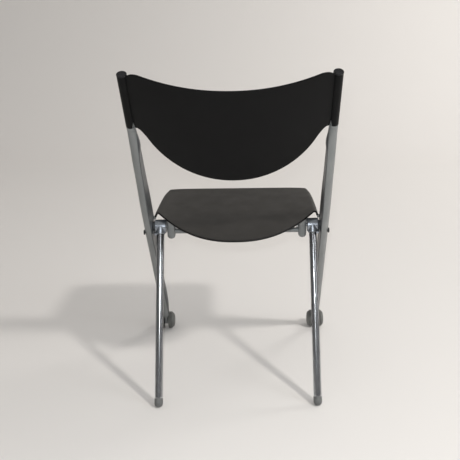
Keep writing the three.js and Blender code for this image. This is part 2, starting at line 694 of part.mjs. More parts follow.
// Foot: a plug in the tube's end with a round-ended head that is worn level with the floor.
function footGeometry() {
  const stem = LEG_DIAMETER / 2 - LEG_WALL - CLEARANCE;
  const head = FOOT_DIAMETER / 2;
  const seat = -LEG_END - CLEARANCE;
  const steps = 5;
  const dome = Array.from({ length: steps }, (_, i) => {
    const angle = (i / steps) * (Math.PI / 2);
    return [head * Math.sin(angle), -FOOT_CENTRE - head * Math.cos(angle)];
  });
  const plug = alongLeg(turned([
    ...dome,
    [head, -FOOT_CENTRE],
    [head, seat - 1],
    [head - 0.8, seat],
    [stem, seat],
    [stem, seat + FOOT_STEM],
    [0, seat + FOOT_STEM],
  ]));
  const size = 200;
  const floor = new THREE.BoxGeometry(size, size, size)
    .translate(0, LEG_SPREAD, -PIVOT_HEIGHT - size / 2);
  return cut(plug, floor).translate(HUB_X, 0, 0);
}

// ---------------------------------------------------------------- stops on the posts
function stopPinGeometry() {
  const inner = stopBushInner() - POST_X;
  const face = POST_WAIST / 2;
  const seat = face - STOP_HEAD_SUNK;
  return turnedAcross([
    [0, inner - 1],
    [STOP_PIN_DIAMETER / 2, inner - 1],
    [STOP_PIN_DIAMETER / 2, seat],
    [STOP_HEAD_DIAMETER / 2, seat],
    [STOP_HEAD_DIAMETER / 2, face + STOP_HEAD_PROUD - 1.2],
    [STOP_HEAD_DIAMETER / 2 - 1.2, face + STOP_HEAD_PROUD],
    [0, face + STOP_HEAD_PROUD],
  ], 20);
}

function stopBushInner() {
  return HUB_X + BARREL_LENGTH / 2 + CLEARANCE;
}

function stopBushGeometry() {
  const from = stopBushInner() - POST_X;
  const bore = STOP_PIN_DIAMETER / 2 + CLEARANCE;
  return turnedAcross(bar(STOP_BUSH_DIAMETER / 2, from, -POST_WAIST / 2 - CLEARANCE, bore), 16);
}

// Block on the post's inner face, under the seat's side rim.
function restBlockGeometry() {
  const outer = POST_X - POST_WAIST / 2 - CLEARANCE;
  const rim = seatSurface(0, 0).z - SEAT_THICKNESS * 0.2;
  const outline = new THREE.Shape();
  const [width, height, r] = [REST_BLOCK_WIDTH, REST_BLOCK_HEIGHT, 1.5];
  outline.moveTo(width, 0);
  outline.lineTo(width, height);
  outline.lineTo(r, height);
  outline.absarc(r, height - r, r, Math.PI / 2, Math.PI, false);
  outline.lineTo(0, r);
  outline.absarc(r, r, r, Math.PI, 1.5 * Math.PI, false);
  return new THREE.ExtrudeGeometry(outline, {
    depth: REST_BLOCK_DEPTH, bevelEnabled: false, curveSegments: 4,
  }).rotateX(Math.PI / 2).translate(outer - width, 0, rim - CLEARANCE - height);
}

// ---------------------------------------------------------------- casters
// Bracket between the wheels: a flattened tongue with an eye for the axle, a tapered neck,
// and a spigot up inside the post. Drawn about the axle, +Z up the post.
function tongueGeometry() {
  const half = TONGUE_WIDTH / 2;
  const clear = WHEEL_RADIUS + 0.6;
  const foot = POST_FOOT_RISE - CLEARANCE;
  const spigotWidth = POST_OUTLINE[0].width - 2 * POST_WALL - 2 * CLEARANCE;
  const spigotDepth = POST_OUTLINE[0].depth - 2 * POST_WALL - 2 * CLEARANCE;
  const stages = [
    { at: 0, width: TONGUE_WIDTH, depth: 17 },
    { at: clear - 5, width: TONGUE_WIDTH, depth: 18 },
    { at: clear, width: TONGUE_WIDTH + 0.2, depth: 18.6 },
    { at: (clear + foot) / 2, width: POST_OUTLINE[0].width * 0.9, depth: 19.8 },
    { at: foot, width: POST_OUTLINE[0].width, depth: POST_OUTLINE[0].depth },
    { at: foot, width: spigotWidth * 0.94, depth: spigotDepth * 0.94 },
    { at: TONGUE_LENGTH, width: spigotWidth * 0.92, depth: spigotDepth * 0.92 },
  ];
  const rings = stages.map(({ at, width, depth }) => Array.from({ length: LUG_SIDES }, (_, i) => {
    const angle = (i / LUG_SIDES) * 2 * Math.PI;
    const [c, s] = [Math.cos(angle), Math.sin(angle)];
    const x = Math.sign(c) * Math.abs(c) ** 0.8 * (width / 2);
    const y = Math.sign(s) * Math.abs(s) ** 0.8 * (depth / 2);
    return new THREE.Vector3(x, y, at);
  }));
  const eye = turnedAcross(bar(CASTER_EYE_DIAMETER / 2, -half, half, 0, 0.8));
  const bore = turnedAcross(bar(AXLE_DIAMETER / 2 + CLEARANCE, -half - 1, half + 1), 20);
  return cut(join(loft(rings), eye), bore);
}

function axleGeometry() {
  const half = WHEEL_GAP / 2 + AXLE_BITE;
  return turnedAcross(bar(AXLE_DIAMETER / 2, -half, half), 16);
}

// One wheel about X: a flat inner face with the axle's blind bore, a seat for the tread, and
// a domed outer face. Its inner face lies in the plane x = 0.
function wheelGeometry() {
  const core = WHEEL_RADIUS - TREAD_THICKNESS;
  const bore = AXLE_DIAMETER / 2 + RUNNING;
  const dome = WHEEL_WIDTH - TREAD_WIDTH;
  const profile = [
    [0, AXLE_BITE + RUNNING],
    [bore, AXLE_BITE + RUNNING],
    [bore, 0],
    [core, 0],
    [core, TREAD_WIDTH + TREAD_INSET],
  ];
  const steps = 4;
  for (let i = 1; i <= steps; i += 1) {
    const angle = (i / steps) * (Math.PI / 2);
    const x = TREAD_WIDTH + TREAD_INSET + (dome - TREAD_INSET) * Math.sin(angle);
    profile.push([core * Math.cos(angle) ** 0.8, x]);
  }
  profile[profile.length - 1][0] = 0;
  return turnedAcross(profile, 24);
}

function treadGeometry() {
  const bore = WHEEL_RADIUS - TREAD_THICKNESS + CLEARANCE;
  const from = 0.8;
  const to = TREAD_WIDTH + TREAD_INSET;
  const profile = [
    [bore, from],
    [WHEEL_RADIUS, from],
    [WHEEL_RADIUS, TREAD_WIDTH - 1],
    [WHEEL_RADIUS - 1, TREAD_WIDTH + 0.6],
    [bore, to],
    [bore, from],
  ];
  return turnedAcross(profile, 24);
}

// ---------------------------------------------------------------- assembly
function place(object, x, y, z) {
  object.position.set(x, y, z);
  return object;
}

function leaning(...children) {
  const group = new THREE.Group();
  group.rotation.x = -POST_LEAN;
  group.add(...children);
  return group;
}

// Everything that comes in a left and a right copy; the right one is the left one mirrored.
function sidePieces(name) {
  const axleY = -AXLE_DROP * Math.sin(POST_LEAN);
  const axleZ = -AXLE_DROP * Math.cos(POST_LEAN);
  const group = new THREE.Group();
  group.add(leaning(
    place(mesh(`post_${name}`, postGeometry(), greyPaint), POST_X, 0, 0),
    place(mesh(`post_collar_${name}`, collarGeometry(), greyPaint), POST_X, 0, 0),
    place(mesh(`back_cap_${name}`, capGeometry(), blackShell), POST_X, 0, 0),
    place(mesh(`caster_bracket_${name}`, tongueGeometry(), greyPaint), POST_X, 0, -AXLE_DROP),
  ));
  const wheels = [
    ['outer', 0, WHEEL_GAP / 2],
    ['inner', Math.PI, -WHEEL_GAP / 2],
  ];
  for (const [where, turn, offset] of wheels) {
    for (const [part, geometry, material] of [
      ['wheel', wheelGeometry(), greyPlastic],
      ['tread', treadGeometry(), treadRubber],
    ]) {
      const piece = mesh(`${part}_${where}_${name}`, geometry, material);
      piece.rotation.y = turn;
      group.add(place(piece, POST_X + offset, axleY, axleZ));
    }
  }
  group.add(
    place(mesh(`axle_${name}`, axleGeometry(), steel), POST_X, axleY, axleZ),
    mesh(`seat_bracket_${name}`, bracketGeometry(), greyPaint),
    mesh(`seat_screw_rear_${name}`, screwGeometry(SCREW_PLACES[0]), steel),
    mesh(`seat_screw_front_${name}`, screwGeometry(SCREW_PLACES[1]), steel),
    mesh(`leg_hub_${name}`, hubGeometry(), hubMetal),
    mesh(`pivot_pin_${name}`, pinGeometry(), steel),
    mesh(`pivot_washer_${name}`, washerGeometry(), darkPlastic),
    place(mesh(`pivot_insert_${name}`, insertGeometry(), steel), POST_X, 0, 0),
    place(mesh(`stop_pin_${name}`, stopPinGeometry(), darkPlastic), POST_X, STOP_BEHIND, -STOP_BELOW),
    place(mesh(`stop_bush_${name}`, stopBushGeometry(), darkPlastic), POST_X, STOP_BEHIND, -STOP_BELOW),
    mesh(`seat_rest_${name}`, restBlockGeometry(), greyPaint),
    mesh(`rear_foot_${name}`, footGeometry(), greyPlastic),
  );
  const leg = mesh(`rear_leg_${name}`, legGeometry(), chrome);
  leg.rotation.set(LEG_TILT, -LEG_SPLAY, 0);
  const legPlace = new THREE.Vector3(HUB_X, LEG_OFFSET, 0).applyAxisAngle(X_AXIS, LEG_TILT);
  group.add(place(leg, legPlace.x, legPlace.y, legPlace.z));
  return group;
}

const chair = new THREE.Group();
const left = sidePieces('left');
const right = sidePieces('right');
right.scale.x = -1;
chair.add(left, right);
chair.add(leaning(mesh('back_shell', backGeometry(), blackShell)));
chair.add(mesh('seat_shell', seatGeometry(), seatPlastic));
chair.add(place(mesh('seat_tie_bar', tieBarGeometry(), greyPaint), 0, 0, -TIE_BAR_DROP));

// Set down: the middle of the outer box over the origin, the lowest point on the floor.
chair.updateMatrixWorld(true);
const outerBox = new THREE.Box3().setFromObject(chair, true);
const middle = outerBox.getCenter(new THREE.Vector3());
chair.position.set(-middle.x, -middle.y, -outerBox.min.z);

export default chair;
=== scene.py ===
import json
import math

import bmesh
import bpy
import numpy as np
from mathutils import Matrix, Vector


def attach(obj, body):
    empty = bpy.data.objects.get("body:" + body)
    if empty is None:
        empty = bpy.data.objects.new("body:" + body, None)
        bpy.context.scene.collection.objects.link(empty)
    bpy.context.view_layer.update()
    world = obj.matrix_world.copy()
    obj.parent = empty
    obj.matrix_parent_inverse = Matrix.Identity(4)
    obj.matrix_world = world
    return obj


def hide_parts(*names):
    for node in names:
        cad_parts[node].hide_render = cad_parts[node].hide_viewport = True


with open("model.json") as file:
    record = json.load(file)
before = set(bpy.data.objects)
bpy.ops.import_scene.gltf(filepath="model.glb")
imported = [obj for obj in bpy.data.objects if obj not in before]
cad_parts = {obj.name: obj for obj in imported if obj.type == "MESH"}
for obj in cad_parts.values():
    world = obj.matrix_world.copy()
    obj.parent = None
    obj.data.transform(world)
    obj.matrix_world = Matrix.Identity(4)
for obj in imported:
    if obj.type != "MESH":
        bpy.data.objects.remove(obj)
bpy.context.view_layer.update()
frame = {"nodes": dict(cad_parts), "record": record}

scene = bpy.context.scene

# ---------------------------------------------------------------- camera
# A camera a metre up behind the chair, a little to the sitter's right of its middle, that
# looks down at it and is turned by less than a degree.
view_place = Vector((-0.05, 1.7358, 1.054))
view_down = math.radians(20.63)
view_roll = 0.012
film_width_mm = 36
lens_over_width = 720 / 460
sideways_shift = -26 / 460

ahead = Vector((0, -math.cos(view_down), -math.sin(view_down)))
level_right = Vector((-1, 0, 0))
level_up = level_right.cross(ahead)
right = level_right * math.cos(view_roll) - level_up * math.sin(view_roll)
up = level_up * math.cos(view_roll) + level_right * math.sin(view_roll)
camera = bpy.data.objects.new("camera", bpy.data.cameras.new("camera"))
scene.collection.objects.link(camera)
turn = Matrix((right, up, -ahead)).transposed().to_4x4()
turn.translation = view_place
camera.matrix_world = turn
camera.data.sensor_width = film_width_mm
camera.data.lens = lens_over_width * film_width_mm
camera.data.shift_x = sideways_shift
scene.camera = camera
scene.view_settings.view_transform = "Standard"

# ---------------------------------------------------------------- lights
# A soft lamp high behind the chair on the sitter's right, a tall pale window on the same side,
# a small lamp just over the lens, one lamp for the wall, and a room that is bright overhead and
# dark towards the ground.


def soft_lamp(name, place, target, size, watts, colour, height=None):
    """A flat lamp at place that faces target, size wide and height high, or square."""
    light = bpy.data.lights.new(name, "AREA")
    light.shape = "RECTANGLE"
    light.size = size
    light.size_y = height or size
    light.energy = watts
    light.color = colour
    lamp = bpy.data.objects.new(name, light)
    scene.collection.objects.link(lamp)
    facing = (Vector(target) - Vector(place)).to_track_quat("-Z", "Y")
    lamp.matrix_world = Matrix.Translation(place) @ facing.to_matrix().to_4x4()
    return lamp


soft_lamp("high_lamp", place=(-1.75, 1.35, 2.65), target=(0, 0, 0.4), size=0.26, watts=42,
          colour=(1.0, 0.97, 0.93))
soft_lamp("window", place=(-2.3, 1.0, 1.6), target=(-0.1, -0.9, 0.5), size=0.9, watts=15,
          colour=(0.95, 0.98, 1.0), height=1.6)
soft_lamp("lens_lamp", place=view_place + up * 0.06 - right * 0.02, target=(0, -0.6, 0.45),
          size=0.03, watts=10, colour=(0.93, 0.97, 1.0))
soft_lamp("wall_lamp", place=(-2.4, -1.6, 2.6), target=(-0.9, -3.6, 0.9), size=1.2, watts=42,
          colour=(1.0, 0.98, 0.95))

world = bpy.data.worlds.new("room")
scene.world = world
world.use_nodes = True
sky = world.node_tree
direction = sky.nodes.new("ShaderNodeTexCoord")
axes = sky.nodes.new("ShaderNodeSeparateXYZ")
ramp = sky.nodes.new("ShaderNodeValToRGB")
ramp.color_ramp.elements[0].position = 0.42
ramp.color_ramp.elements[0].color = (0.1, 0.1, 0.105, 1)
ramp.color_ramp.elements[1].position = 0.9
ramp.color_ramp.elements[1].color = (0.9, 0.88, 0.855, 1)
span = sky.nodes.new("ShaderNodeMapRange")
span.inputs["From Min"].default_value = -1
sky.links.new(direction.outputs["Generated"], axes.inputs[0])
sky.links.new(axes.outputs["Z"], span.inputs["Value"])
sky.links.new(span.outputs["Result"], ramp.inputs[0])
sky.links.new(ramp.outputs["Color"], sky.nodes["Background"].inputs["Color"])
sky.nodes["Background"].inputs["Strength"].default_value = 0.56

# ---------------------------------------------------------------- floor and backdrop
# One pale sheet: it lies flat under the chair, bends up in a wide curve ahead of it and
# stands as a wall.
floor_half_width = 5.0
floor_behind = 3.2
wall_distance = 3.6
cove_radius = 1.5
wall_height = 3.6

bend = np.linspace(0, math.pi / 2, 24)
line = np.vstack([
    [[floor_behind, 0.0]],
    np.stack([-wall_distance + cove_radius - cove_radius * np.sin(bend),
              cove_radius - cove_radius * np.cos(bend)], axis=1),
    [[-wall_distance, wall_height]],
])
edges = np.array([-floor_half_width, floor_half_width])
corners = np.stack([
    np.broadcast_to(edges, (len(line), 2)),
    np.broadcast_to(line[:, :1], (len(line), 2)),
    np.broadcast_to(line[:, 1:], (len(line), 2)),
], axis=2).reshape(-1, 3)
strip = np.arange(len(line) - 1) * 2
backdrop_mesh = bpy.data.meshes.new("backdrop")
strips = np.stack([strip, strip + 1, strip + 3, strip + 2], axis=1)
backdrop_mesh.from_pydata(corners.tolist(), [], strips.tolist())
backdrop_mesh.shade_smooth()
backdrop = bpy.data.objects.new("backdrop", backdrop_mesh)
scene.collection.objects.link(backdrop)
paper = bpy.data.materials.new("pale_paper")
paper.use_nodes = True
paper_shader = paper.node_tree.nodes["Principled BSDF"]
paper_shader.inputs["Base Color"].default_value = (0.78, 0.757, 0.735, 1)
paper_shader.inputs["Roughness"].default_value = 0.75
paper_shader.inputs["Specular IOR Level"].default_value = 0.25
backdrop_mesh.materials.append(paper)

# ---------------------------------------------------------------- posts
# Two drawn steel tubes, round at the ends and pressed in between to a deep blade that is flat
# towards the seat. Powder-coated in satin grey, the flat side painted darker as shade; a
# round neck goes up inside the back's sleeves.
folding = next(j for j in frame["record"]["behaviour"]["joints"] if j["name"] == "seat_fold")
folding_axis = np.array(folding["pos_m"])
post_x = 226.0
post_half = 11.0
gap = 0.3
lean = math.radians(29.1)
post_foot = -398.334
post_shoulder = 3.0
flat_softness = 0.9
flat_from = 9.0
post_rim_tuck = 0.96
collar_foot = 335.0
back_top = 484.0
neck_radius = 8.5
neck_short = 4.0
SIDES = (("left", 1.0), ("right", -1.0))


def skin(name, rings, looped=False, fans=True, sharp=38, shade_mark=None):
    """A closed skin through rings of points, an array (ring, point, xyz) in millimetres about
    the folding axis. Neighbouring rings are joined by four-sided faces. Looped, the last ring
    joins the first; with fans each end is closed round its middle; without, the end rings are
    flat already and close when their doubled points merge. The mark, one value for each point
    of the rings, says where shade is to be painted and is kept with the points for the finish to
    read."""
    count, around = rings.shape[:2]
    points = rings.reshape(-1, 3)
    ring = np.arange(count if looped else count - 1)[:, None]
    place = np.arange(around)[None, :]
    next_ring = (ring + 1) % count
    next_place = (place + 1) % around
    faces = np.stack([ring * around + place, ring * around + next_place,
                      next_ring * around + next_place, next_ring * around + place],
                     axis=2).reshape(-1, 4).tolist()
    if fans and not looped:
        first_middle = len(points)
        points = np.vstack([points, rings[0].mean(axis=0), rings[-1].mean(axis=0)])
        here = np.arange(around)
        after = (here + 1) % around
        top = (count - 1) * around
        faces += np.stack([after, here, np.full(around, first_middle)], axis=1).tolist()
        faces += np.stack([here + top, after + top, np.full(around, first_middle + 1)],
                          axis=1).tolist()
    mesh = bpy.data.meshes.new(name)
    mesh.from_pydata((points * 0.001 + folding_axis).tolist(), [], faces)
    if shade_mark is not None:
        values = np.zeros(len(points), dtype=np.float32)
        values[:shade_mark.size] = shade_mark.ravel()
        mesh.attributes.new("shade_mark", "FLOAT", "POINT").data.foreach_set("value", values)
    work = bmesh.new()
    work.from_mesh(mesh)
    bmesh.ops.remove_doubles(work, verts=work.verts, dist=2e-6)
    bmesh.ops.recalc_face_normals(work, faces=work.faces)
    work.to_mesh(mesh)
    work.free()
    mesh.shade_smooth()
    mesh.set_sharp_from_angle(angle=math.radians(sharp))
    piece = bpy.data.objects.new(name, mesh)
    scene.collection.objects.link(piece)
    return piece


def fit(piece, body, slot, material, *nodes):
    """Gives a piece its material, lets it ride on its body and stand for its nodes. The slot is not
    used.
    """
    piece.data.materials.append(material)
    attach(piece, body)
    if nodes:
        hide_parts(*nodes)
    return piece


def leaned(points):
    """Points drawn up and behind the post line, turned back by the post's lean."""
    x, behind, height = points[..., 0], points[..., 1], points[..., 2]
    return np.stack([x, behind * math.cos(lean) + height * math.sin(lean),
                     height * math.cos(lean) - behind * math.sin(lean)], axis=-1)


def between(stations, heights):
    """Values at heights from rows of (height, value, value...), eased from row to row by the
    smooth step 3t^2 - 2t^3."""
    stations = np.array(stations)
    k = np.clip(np.searchsorted(stations[:, 0], heights, side="right") - 1, 0, len(stations) - 2)
    t = np.clip((heights - stations[k, 0]) / (stations[k + 1, 0] - stations[k, 0]), 0, 1)
    ease = (t * t * (3 - 2 * t))[:, None]
    return (stations[k, 1:] * (1 - ease) + stations[k + 1, 1:] * ease).T


# height up the post, width across, depth fore and aft, and how far the depth lies back
post_outline = [
    (post_foot, 20.5, 21.5, 0),
    (post_foot * 0.8, 22, 27, 0),
    (post_foot * 0.45, 22.5, 40, 2),
    (0, 22, 59, 5),
    (collar_foot * 0.25, 22, 59, 6),
    (collar_foot * 0.62, 21.4, 40, 4),
    (collar_foot, 20.6, 20.6, 0),
]


def post_rings(heights, around=96):
    """Rings round the post. Across, a ring runs as a power of the cosine from its deepest line
    to the rounded outer side and is held softly at the flat inner side; fore and aft it runs
    as the sine. The deepest line moves inwards as the depth outgrows the width."""
    width, depth, behind = (v[:, None] for v in between(post_outline, heights))
    angle = np.linspace(0, 2 * np.pi, around, endpoint=False)[None, :]
    blade = np.clip(2 * (depth - width) / width, 0, 1)
    deepest = -blade * (width / 2 - post_shoulder)
    cosine = np.cos(angle)
    reach = np.sign(cosine) * np.abs(cosine) ** (1 - 0.25 * blade)
    x = deepest + (width / 2 - deepest) * reach
    held = flat_softness * np.logaddexp(0, (x + width / 2) / flat_softness) - width / 2
    x = held * blade + x * (1 - blade)
    y = np.sin(angle) * depth / 2 + behind
    z = heights[:, None] + 0 * angle
    return np.stack([x, y, z], axis=-1)


def circle_rings(profile, around=48):
    """Rings of a turned shape: each pair (radius, height) becomes a circle about Z."""
    profile = np.array(profile, dtype=float)
    angle = np.linspace(0, 2 * np.pi, around, endpoint=False)[None, :]
    radius, height = profile[:, :1], profile[:, 1:]
    return np.stack([radius * np.cos(angle), radius * np.sin(angle), height + 0 * angle], axis=-1)


def finish(name, tones, roughness, grain_mm, depth_mm, metallic=0.0, specular=0.5,
           patch_mm=60.0, sway=0.08, painted_shade=None):
    """A finish whose colour wanders between two tones over soft patches, whose gloss wanders by
    sway, and whose surface is raised by a fine noise grain_mm across and depth_mm deep. Where a
    piece's points are marked for shade, the colour goes over to the darker one given for it: a
    painted shade."""
    material = bpy.data.materials.new(name)
    material.use_nodes = True
    tree = material.node_tree
    shader = tree.nodes["Principled BSDF"]
    place = tree.nodes.new("ShaderNodeTexCoord")

    def noise(size_mm, detail):
        """A noise over Object coordinates whose scale is a thousand over its size in mm."""
        node = tree.nodes.new("ShaderNodeTexNoise")
        node.inputs["Scale"].default_value = 1000 / size_mm
        node.inputs["Detail"].default_value = detail
        tree.links.new(place.outputs["Object"], node.inputs["Vector"])
        return node

    patches = noise(patch_mm, 4)
    tint = tree.nodes.new("ShaderNodeValToRGB")
    tint.color_ramp.elements[0].position = 0.32
    tint.color_ramp.elements[0].color = (*tones[0], 1)
    tint.color_ramp.elements[1].position = 0.68
    tint.color_ramp.elements[1].color = (*tones[1], 1)
    tree.links.new(patches.outputs["Fac"], tint.inputs[0])
    # Painted shade: where points carry the mark, the colour goes over to the darker one given.
    if painted_shade:
        kept = tree.nodes.new("ShaderNodeAttribute")
        kept.attribute_name = "shade_mark"
        over = tree.nodes.new("ShaderNodeMix")
        over.data_type = "RGBA"
        tree.links.new(kept.outputs["Fac"], over.inputs["Factor"])
        tree.links.new(tint.outputs["Color"], over.inputs["A"])
        over.inputs["B"].default_value = (*painted_shade, 1)
        tree.links.new(over.outputs["Result"], shader.inputs["Base Color"])
    else:
        tree.links.new(tint.outputs["Color"], shader.inputs["Base Color"])

    smudges = noise(patch_mm / 3, 3)
    gloss = tree.nodes.new("ShaderNodeMapRange")
    gloss.inputs["From Min"].default_value = 0.3
    gloss.inputs["From Max"].default_value = 0.7
    gloss.inputs["To Min"].default_value = max(0.02, roughness - sway / 2)
    gloss.inputs["To Max"].default_value = roughness + sway / 2
    tree.links.new(smudges.outputs["Fac"], gloss.inputs["Value"])
    tree.links.new(gloss.outputs["Result"], shader.inputs["Roughness"])

    grain = noise(grain_mm, 2)
    bump = tree.nodes.new("ShaderNodeBump")
    bump.inputs["Strength"].default_value = 0.6
    bump.inputs["Distance"].default_value = depth_mm * 0.001
    tree.links.new(grain.outputs["Fac"], bump.inputs["Height"])
    tree.links.new(bump.outputs["Normal"], shader.inputs["Normal"])

    shader.inputs["Metallic"].default_value = metallic
    shader.inputs["Specular IOR Level"].default_value = specular
    return material


coat_tones = ((0.215, 0.225, 0.225), (0.25, 0.26, 0.26))
grey_paint = finish("grey_powder_coat", coat_tones, 0.42, 1.1, 0.05, metallic=0.35)
# Painted shade: the colour given here darkens the flat inner side of each post.
post_paint_with_shade = finish("post_powder_coat_painted_shade", coat_tones, 0.42, 1.1, 0.05, metallic=0.35,
                    painted_shade=(0.07, 0.075, 0.08))

post_heights = np.concatenate([
    np.linspace(post_foot, collar_foot - 1.2, 90),
    [collar_foot - 2 * gap, collar_foot - gap],
])
for side, sign in SIDES:
    tube = post_rings(post_heights)
    middle = tube[-1].mean(axis=0)
    tube[-1] = middle + (tube[-1] - middle) * [post_rim_tuck, post_rim_tuck, 1]
    neck = circle_rings([(neck_radius, collar_foot - gap), (neck_radius, back_top - neck_short)], 96)
    rings = np.concatenate([tube, neck])
    # Marks the flat inner side, where the posts' finish paints shade.
    shaded_flat_side = np.clip(-rings[..., 0] - flat_from, 0, 1)
    rings[..., 0] = sign * (rings[..., 0] + post_x)
    fit(skin(f"post_tube_{side}", leaned(rings), shade_mark=shaded_flat_side), "frame", "grey_paint",
        post_paint_with_shade, f"post_{side}")

# ---------------------------------------------------------------- collars
# A short turned ring over the neck of each post, painted with it, that the sleeve of the
# back stands on.
sleeve_foot = 345.0
collar_radius = 10.5
collar_bore = neck_radius + 0.4


def rounded(profile, radius, steps=5):
    """A profile with its corners rounded: each corner is cut back by the radius along both its
    sides, at most to their middles, and bridged by the parabola that touches them there. The
    first and last points stay."""
    profile = np.array(profile, dtype=float)
    out = [profile[:1]]
    share = np.linspace(0, 1, steps)[:, None]
    for before, corner, after in zip(profile[:-2], profile[1:-1], profile[2:]):
        back, on = before - corner, after - corner
        start = corner + back * min(0.5, radius / max(np.hypot(*back), 1e-6))
        end = corner + on * min(0.5, radius / max(np.hypot(*on), 1e-6))
        out.append((1 - share) ** 2 * start + 2 * share * (1 - share) * corner + share ** 2 * end)
    out.append(profile[-1:])
    return np.vstack(out)


for side, sign in SIDES:
    low, high = collar_foot + 0.1, sleeve_foot - 0.4
    ring = rounded([(collar_bore, low), (collar_radius, low), (collar_radius, high),
                    (collar_bore, high)], 0.7)
    rings = circle_rings(ring, 64) + [sign * post_x, 0, 0]
    fit(skin(f"collar_{side}", leaned(rings), looped=True), "frame", "grey_paint", grey_paint,
        f"post_collar_{side}")

# ---------------------------------------------------------------- caster brackets
# A cast tongue plugged into each post's lower end. It narrows to a flat blade between the two
# wheels and ends in an eye for the axle.
pivot_height = 408.0
wheel_radius = 25.0
axle_drop = (pivot_height - wheel_radius) / math.cos(lean)
eye_radius = 12.0
tongue_half = 6.0
tongue_top = 39.7
# height above the axle, half the width across and half the depth fore and aft
tongue_outline = [
    (0, 6.0, 12.0),
    (20, 6.0, 9.2),
    (30, 9.2, 10.0),
    (tongue_top, 10.25, 10.75),
]


def squarish(angle, power, half_x, half_y):
    """Points of a rounded rectangle: one half size times a power of the cosine and the other
    times the same power of the sine. The further the power is under one, the squarer."""
    cosine, sine = np.cos(angle), np.sin(angle)
    return (np.sign(cosine) * np.abs(cosine) ** power * half_x,
            np.sign(sine) * np.abs(sine) ** power * half_y)


for side, sign in SIDES:
    tip = np.linspace(0, math.pi / 2, 14)
    low = np.stack([-eye_radius * np.cos(tip), np.full(14, tongue_half),
                    eye_radius * np.sin(tip)], axis=1)
    high = np.linspace(2, tongue_top - 0.5, 24)
    half_width, half_depth = between(tongue_outline, high)
    outline = np.vstack([low, np.stack([high, half_width, half_depth], axis=1),
                         [[tongue_top, 10.0, 10.5]]])
    height, half_width, half_depth = (column[:, None] for column in outline.T)
    angle = np.linspace(0, 2 * np.pi, 48, endpoint=False)[None, :]
    power = 0.55 + 0.35 * np.clip(height / tongue_top, 0, 1)
    x, y = squarish(angle, power, half_width, half_depth)
    rings = np.stack([sign * (x + post_x), y, height - axle_drop + 0 * angle], axis=-1)
    fit(skin(f"caster_tongue_{side}", leaned(rings)), "frame", "grey_paint", grey_paint,
        f"caster_bracket_{side}")

# ---------------------------------------------------------------- wheels, treads and axles
# Twin moulded wheels with domed outer faces and a softer grey tyre shrunk on each; a plain
# steel axle runs through the eye into both. Each wheel turns by itself.
core = wheel_radius - 3.0
wheel_width = 19.0
wheel_gap = 12.8
tread_width = 11.0
tread_bore = core + 0.25
boss_radius, boss_recess = 6.5, 1.6
axle_y = -axle_drop * math.sin(lean)
axle_z = -axle_drop * math.cos(lean)

wheel_grey = finish("wheel_plastic", ((0.115, 0.118, 0.112), (0.15, 0.152, 0.145)), 0.5, 0.8, 0.03,
                    patch_mm=12)
tyre_grey = finish("tyre_rubber", ((0.085, 0.087, 0.083), (0.13, 0.13, 0.122)), 0.72, 0.5, 0.05,
                   patch_mm=9, specular=0.35)
zinc = finish("zinc_plate", ((0.42, 0.43, 0.44), (0.56, 0.57, 0.58)), 0.32, 0.6, 0.01,
              metallic=1.0, patch_mm=8)


def across(rings):
    """Rings about Z laid over so that their heights run along X."""
    return np.stack([rings[..., 2], rings[..., 0], rings[..., 1]], axis=-1)


def dress(node, material):
    """Gives a solid of the frame its finish."""
    frame["nodes"][node].data.materials.clear()
    frame["nodes"][node].data.materials.append(material)


dome = np.linspace(0, math.pi / 2, 14)
wheel_profile = np.vstack([
    rounded([(0, boss_recess), (boss_radius, boss_recess), (boss_radius + 1, 0.0), (core, 0.0),
             (core, tread_width)], 0.6),
    np.stack([core * np.cos(dome) ** 0.55,
              tread_width + 0.5 + (wheel_width - tread_width - 0.5) * np.sin(dome)], axis=1),
])
wheel_profile[-1, 0] = 0
tread_profile = rounded([
    (tread_bore, 0.8), (wheel_radius, 0.8), (wheel_radius, tread_width - 1.2),
    (wheel_radius - 1.4, tread_width + 0.6), (tread_bore, tread_width + 0.6)], 1.1)
for side, sign in SIDES:
    for where, facing in (("outer", 1.0), ("inner", -1.0)):
        for part, profile, material, slot, looped in (
                ("wheel", wheel_profile, wheel_grey, "grey_plastic", False),
                ("tread", tread_profile, tyre_grey, "wheel_tread", True)):
            rings = across(circle_rings(profile, 72)) * [facing, 1, 1]
            rings = (rings + [post_x + facing * wheel_gap / 2, axle_y, axle_z]) * [sign, 1, 1]
            fit(skin(f"caster_{part}_{where}_{side}", rings, looped), f"caster_{where}_{side}",
                slot, material, f"{part}_{where}_{side}")
    dress(f"axle_{side}", zinc)

# ---------------------------------------------------------------- pivots and stops
# A steel pin through each hub into an insert in the post, with a grey washer between them; and
# a dark stop pin with a round head outside the post, in a grey bush that stops the leg's tab.
dark_plastic = finish("dark_moulding", ((0.012, 0.0125, 0.014), (0.02, 0.0205, 0.022)), 0.5, 0.7,
                      0.03, patch_mm=10)
slate_plastic = finish("slate_moulding", ((0.10, 0.105, 0.11), (0.14, 0.145, 0.15)), 0.5, 0.7,
                       0.03, patch_mm=10)
hub_x = 196.5
barrel_half = 14.5
barrel_radius = 17.5
post_face = post_x - post_half - gap
pin_radius, pin_head_radius = 4.0, 7.5
pin_head_from, pin_head_to = 154.5, 159.2
pin_end = post_x + 7
washer_bore, washer_radius = 4.4, 12.0
washer_from, washer_to = 212.5, 214.5
stop_behind, stop_below = 20.0, 8.5
stop_radius, stop_head_radius = 2.5, 6.4
stop_head_from, stop_head_to = post_x + 9, post_x + post_half + 1.4
bush_bore, bush_radius = 2.8, 4.0
bush_from = hub_x + barrel_half + gap


def turned_piece(name, profile, sign, behind=0.0, below=0.0, around=48, looped=False):
    """A turned piece about a line across the chair, mirrored to its side."""
    rings = across(circle_rings(profile, around)) + [0, behind, -below]
    return skin(name, rings * [sign, 1, 1], looped)


